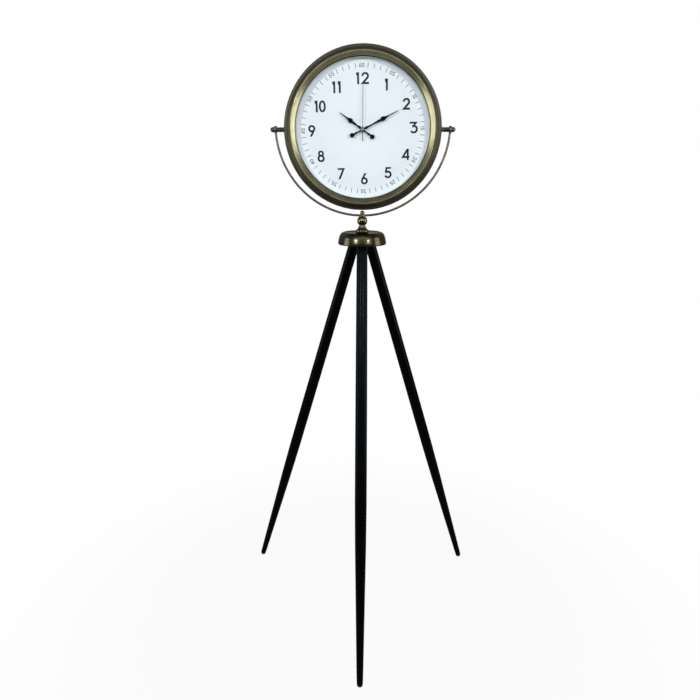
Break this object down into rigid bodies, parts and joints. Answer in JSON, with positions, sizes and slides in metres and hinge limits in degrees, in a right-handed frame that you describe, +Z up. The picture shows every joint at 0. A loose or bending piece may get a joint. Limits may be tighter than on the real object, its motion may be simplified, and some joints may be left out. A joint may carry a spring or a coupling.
{
  "type": "tripod clock",
  "caption": "Floor-standing tripod clock: a round brass-rimmed head tilts and swivels in a thin rod yoke on a domed hub with black turned legs.",
  "frame": {"origin": "on the floor, at the centre of the object's bounding box, seen from above", "axes": "+Z up, the dial faces -Y, +X to the viewer's right"},
  "size_m": [0.6076, 0.5281, 1.398],
  "materials": {
    "satin_brass": "satin antique brass",
    "antique_brass": "polished, darkened antique brass",
    "dark_bronze": "dark bronze plating on steel",
    "clear_glass": "clear",
    "pale_paint": "satin pale grey paint",
    "white_dial": "matt cool white print on aluminium",
    "fibreboard": "raw",
    "black_steel": "black powder coat",
    "black_plastic": "matt",
    "white_plastic": "natural acetal",
    "rubber": "matt",
    "zinc_steel": "zinc plated",
    "battery_label": "plain wrapped label",
    "copper": "enamelled copper wire",
    "circuit_green": "solder resist",
    "black_hand_paint": "satin black paint on aluminium",
    "grey_hand_paint": "satin grey paint on aluminium",
    "black_lacquer": "satin black lacquer on hardwood"
  },
  "bodies": {
    "tripod": {"hub_cap": "antique_brass", "hub_plate": "zinc_steel", "centre_stud": "zinc_steel", "stem_collar": "antique_brass", "stem_neck": "antique_brass", "stem_ball": "antique_brass", "acorn_nut": "antique_brass", "leg_front": "black_lacquer", "leg_stud_front": "zinc_steel", "foot_pad_front": "rubber", "leg_left": "black_lacquer", "leg_stud_left": "zinc_steel", "foot_pad_left": "rubber", "leg_right": "black_lacquer", "leg_stud_right": "zinc_steel", "foot_pad_right": "rubber"},
    "yoke": {"yoke_arc": "dark_bronze"},
    "head": {"bezel": "satin_brass", "front_glass": "clear_glass", "dial_surround": "pale_paint", "dial_plate": "white_dial", "backing_board": "fibreboard", "case_drum": "antique_brass", "rear_cover": "black_steel", "movement_housing": "black_plastic", "movement_cover": "black_plastic", "bush_gasket": "rubber", "bush_nut": "zinc_steel", "battery": "battery_label", "battery_contact_negative": "zinc_steel", "battery_contact_positive": "zinc_steel", "drive_coil": "copper", "circuit_board": "circuit_green", "cover_screw_1": "zinc_steel", "cover_screw_2": "zinc_steel", "cover_screw_3": "zinc_steel", "cover_screw_4": "zinc_steel", "pivot_spacer_left": "dark_bronze", "pivot_knob_left": "dark_bronze", "pivot_stud_left": "zinc_steel", "pivot_nut_left": "zinc_steel", "pivot_spacer_right": "dark_bronze", "pivot_knob_right": "dark_bronze", "pivot_stud_right": "zinc_steel", "pivot_nut_right": "zinc_steel"},
    "hour": {"hour_hand": "black_hand_paint", "hour_wheel": "white_plastic"},
    "minute": {"minute_hand": "black_hand_paint", "centre_wheel": "white_plastic"},
    "seconds": {"second_hand": "grey_hand_paint", "seconds_wheel": "white_plastic"},
    "reduction": {"reduction_wheel": "white_plastic"},
    "idler": {"idler_wheel": "white_plastic"},
    "rotor": {"stepping_rotor": "zinc_steel"},
    "setting": {"set_knob": "white_plastic"}
  },
  "joints": [
    {"name": "yoke_swivel", "type": "hinge", "parent": "tripod", "child": "yoke", "pos_m": [0, 0.086, 1.029], "axis": [0, 0, 1], "continuous": true},
    {"name": "head_tilt", "type": "hinge", "parent": "yoke", "child": "head", "pos_m": [0, 0.086, 1.22], "axis": [1, 0, 0], "continuous": true},
    {"name": "minute_turn", "type": "hinge", "parent": "head", "child": "minute", "pos_m": [0, 0.086, 1.22], "axis": [0, 1, 0], "continuous": true},
    {"name": "hour_turn", "type": "hinge", "parent": "head", "child": "hour", "pos_m": [0, 0.086, 1.22], "axis": [0, 1, 0], "continuous": true},
    {"name": "reduction_turn", "type": "hinge", "parent": "head", "child": "reduction", "pos_m": [0.00495, 0.086, 1.22857], "axis": [0, 1, 0], "continuous": true},
    {"name": "set_knob_turn", "type": "hinge", "parent": "head", "child": "setting", "pos_m": [0.00323, 0.086, 1.23832], "axis": [0, 1, 0], "continuous": true},
    {"name": "second_turn", "type": "hinge", "parent": "head", "child": "seconds", "pos_m": [0, 0.086, 1.22], "axis": [0, 1, 0], "continuous": true},
    {"name": "idler_turn", "type": "hinge", "parent": "head", "child": "idler", "pos_m": [-0.00817, 0.086, 1.22298], "axis": [0, 1, 0], "continuous": true},
    {"name": "rotor_turn", "type": "hinge", "parent": "head", "child": "rotor", "pos_m": [-0.01471, 0.086, 1.22535], "axis": [0, 1, 0], "continuous": true}
  ],
  "couplings": [
    {"joint": "hour_turn", "follows": "minute_turn", "ratio": 0.083333},
    {"joint": "reduction_turn", "follows": "minute_turn", "ratio": -0.33333},
    {"joint": "set_knob_turn", "follows": "minute_turn", "ratio": 1},
    {"joint": "idler_turn", "follows": "second_turn", "ratio": -5},
    {"joint": "rotor_turn", "follows": "second_turn", "ratio": 30}
  ]
}
